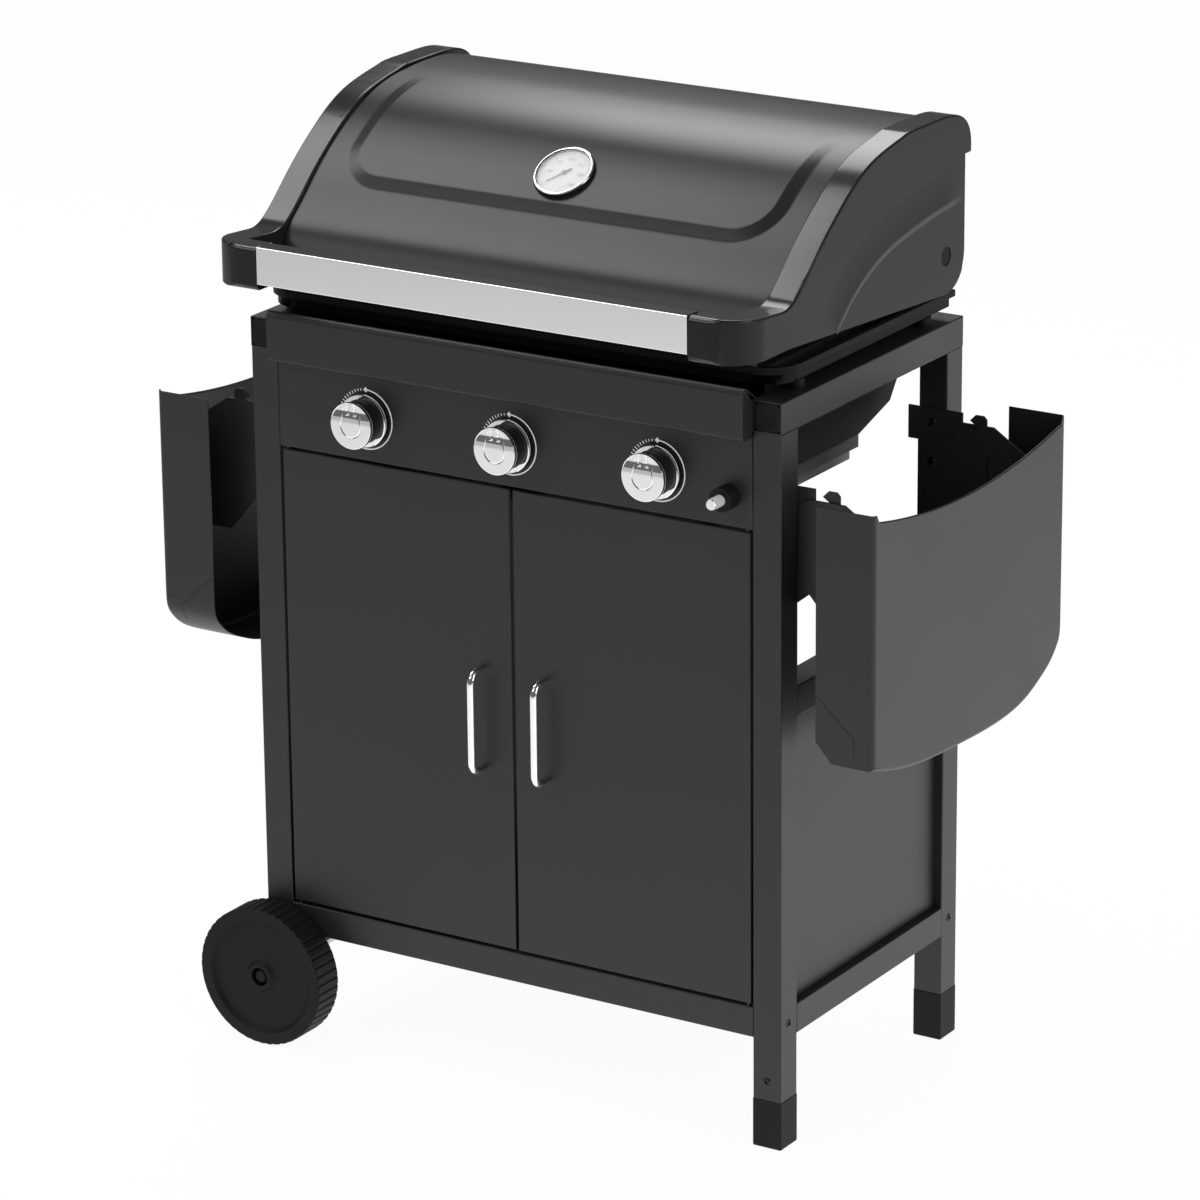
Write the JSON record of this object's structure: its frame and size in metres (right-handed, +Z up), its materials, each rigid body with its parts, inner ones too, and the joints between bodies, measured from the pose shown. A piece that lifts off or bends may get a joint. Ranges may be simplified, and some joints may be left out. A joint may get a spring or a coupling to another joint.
{
  "type": "gas barbecue grill",
  "caption": "Gas barbecue on a wheeled cabinet cart: domed hinged lid with thermometer, knobs on a front panel, double doors and fold-down side tables.",
  "frame": {"origin": "on the floor, at the middle of the overall box", "axes": "+Z up, the front with the doors faces -Y, +X to the right of someone who looks at the front"},
  "size_m": [0.92, 0.519, 1.084],
  "materials": {
    "frame_paint": "charcoal powder coat, fine satin grain",
    "lid_paint": "smooth satin black heat-proof paint",
    "fire_enamel": "matt black heat-proof coating",
    "black_plastic": "moulded black plastic",
    "bright_chrome": "bright chrome plate",
    "silver_bar": "fine brushed silver",
    "iron": "seasoned dark casting",
    "steel": "plain bright steel",
    "dark_steel": "blackened screw heads",
    "gas_brass": "machined brass",
    "dial_white": "matt white print",
    "needle_black": "matt black paint",
    "clear_glass": "clear"
  },
  "bodies": {
    "cart": {"axle": "steel", "axle_caps": "black_plastic", "bottom_cross_rails": "frame_paint", "bottom_side_rails": "frame_paint", "burners": "steel", "control_panel": "frame_paint", "cooking_grate": "iron", "door_catch": "black_plastic", "door_hinge_pins": "steel", "fascia": "frame_paint", "feet": "black_plastic", "firebox": "fire_enamel", "firebox_spacers": "fire_enamel", "floor_pan": "frame_paint", "frame_screws": "dark_steel", "gas_inlet": "gas_brass", "gas_manifold": "steel", "gas_valves": "gas_brass", "griddle": "iron", "heat_tents": "steel", "igniter_bezel": "black_plastic", "left_legs": "frame_paint", "lid_hinge_brackets": "fire_enamel", "mid_rails": "frame_paint", "right_legs": "frame_paint", "side_panels": "frame_paint", "table_brackets": "frame_paint", "top_rails": "frame_paint", "tray_runners": "steel", "warming_rack": "steel"},
    "lid": {"lid_sheet": "lid_paint", "lid_end_left": "lid_paint", "lid_end_right": "lid_paint", "lid_handle": "silver_bar", "lid_hinge_pins": "steel", "gauge_case": "bright_chrome", "gauge_dial": "dial_white", "gauge_glass": "clear_glass"},
    "gauge_pointer": {"gauge_needle": "needle_black"},
    "left_door": {"door_left": "frame_paint", "door_handle_left": "bright_chrome"},
    "right_door": {"door_right": "frame_paint", "door_handle_right": "bright_chrome"},
    "left_table": {"table_left": "frame_paint", "table_hangers_left": "frame_paint"},
    "right_table": {"table_right": "frame_paint", "table_hangers_right": "frame_paint"},
    "igniter": {"igniter_button": "bright_chrome"},
    "front_wheel": {"wheel_front": "black_plastic"},
    "rear_wheel": {"wheel_rear": "black_plastic"},
    "tray": {"grease_tray": "steel"},
    "left_plunger": {"valve_plunger_left": "gas_brass"},
    "left_knob": {"knob_left": "bright_chrome", "valve_stem_left": "gas_brass"},
    "centre_plunger": {"valve_plunger_centre": "gas_brass"},
    "centre_knob": {"knob_centre": "bright_chrome", "valve_stem_centre": "gas_brass"},
    "right_plunger": {"valve_plunger_right": "gas_brass"},
    "right_knob": {"knob_right": "bright_chrome", "valve_stem_right": "gas_brass"}
  },
  "joints": [
    {"name": "lid_hinge", "type": "hinge", "parent": "cart", "child": "lid", "pos_m": [0, 0.1725, 0.927], "axis": [-1, 0, 0], "range_deg": [0, 85]},
    {"name": "gauge_pointer_turn", "type": "hinge", "parent": "lid", "child": "gauge_pointer", "pos_m": [0, -0.06192, 1.02546], "axis": [0, 0.5744, -0.8186], "range_deg": [0, 270]},
    {"name": "left_door_hinge", "type": "hinge", "parent": "cart", "child": "left_door", "pos_m": [-0.29625, -0.1755, 0.43], "axis": [0, 0, -1], "range_deg": [0, 110]},
    {"name": "right_door_hinge", "type": "hinge", "parent": "cart", "child": "right_door", "pos_m": [0.29625, -0.1755, 0.43], "axis": [0, 0, 1], "range_deg": [0, 110]},
    {"name": "left_table_fold", "type": "hinge", "parent": "cart", "child": "left_table", "pos_m": [-0.357, 0.017, 0.726], "axis": [0, 1, 0], "range_deg": [0, 90]},
    {"name": "right_table_fold", "type": "hinge", "parent": "cart", "child": "right_table", "pos_m": [0.357, 0.017, 0.726], "axis": [0, -1, 0], "range_deg": [0, 90]},
    {"name": "igniter_press", "type": "slide", "parent": "cart", "child": "igniter", "axis": [0, 1, 0], "range_m": [0, 0.004], "stiffness_N_per_m": 1500},
    {"name": "front_wheel_spin", "type": "hinge", "parent": "cart", "child": "front_wheel", "pos_m": [-0.32175, -0.2055, 0.082], "axis": [0, 1, 0], "continuous": true},
    {"name": "rear_wheel_spin", "type": "hinge", "parent": "cart", "child": "rear_wheel", "pos_m": [-0.32175, 0.2395, 0.082], "axis": [0, 1, 0], "continuous": true},
    {"name": "tray_slide", "type": "slide", "parent": "cart", "child": "tray", "axis": [0, 1, 0], "range_m": [0, 0.23]},
    {"name": "left_knob_press", "type": "slide", "parent": "cart", "child": "left_plunger", "axis": [0, 1, 0], "range_m": [0, 0.003], "stiffness_N_per_m": 800},
    {"name": "left_knob_turn", "type": "hinge", "parent": "left_plunger", "child": "left_knob", "pos_m": [-0.187, -0.1985, 0.7536], "axis": [0, -1, 0], "range_deg": [0, 180]},
    {"name": "centre_knob_press", "type": "slide", "parent": "cart", "child": "centre_plunger", "axis": [0, 1, 0], "range_m": [0, 0.003], "stiffness_N_per_m": 800},
    {"name": "centre_knob_turn", "type": "hinge", "parent": "centre_plunger", "child": "centre_knob", "pos_m": [0, -0.1985, 0.7536], "axis": [0, -1, 0], "range_deg": [0, 180]},
    {"name": "right_knob_press", "type": "slide", "parent": "cart", "child": "right_plunger", "axis": [0, 1, 0], "range_m": [0, 0.003], "stiffness_N_per_m": 800},
    {"name": "right_knob_turn", "type": "hinge", "parent": "right_plunger", "child": "right_knob", "pos_m": [0.187, -0.1985, 0.7536], "axis": [0, -1, 0], "range_deg": [0, 180]}
  ]
}
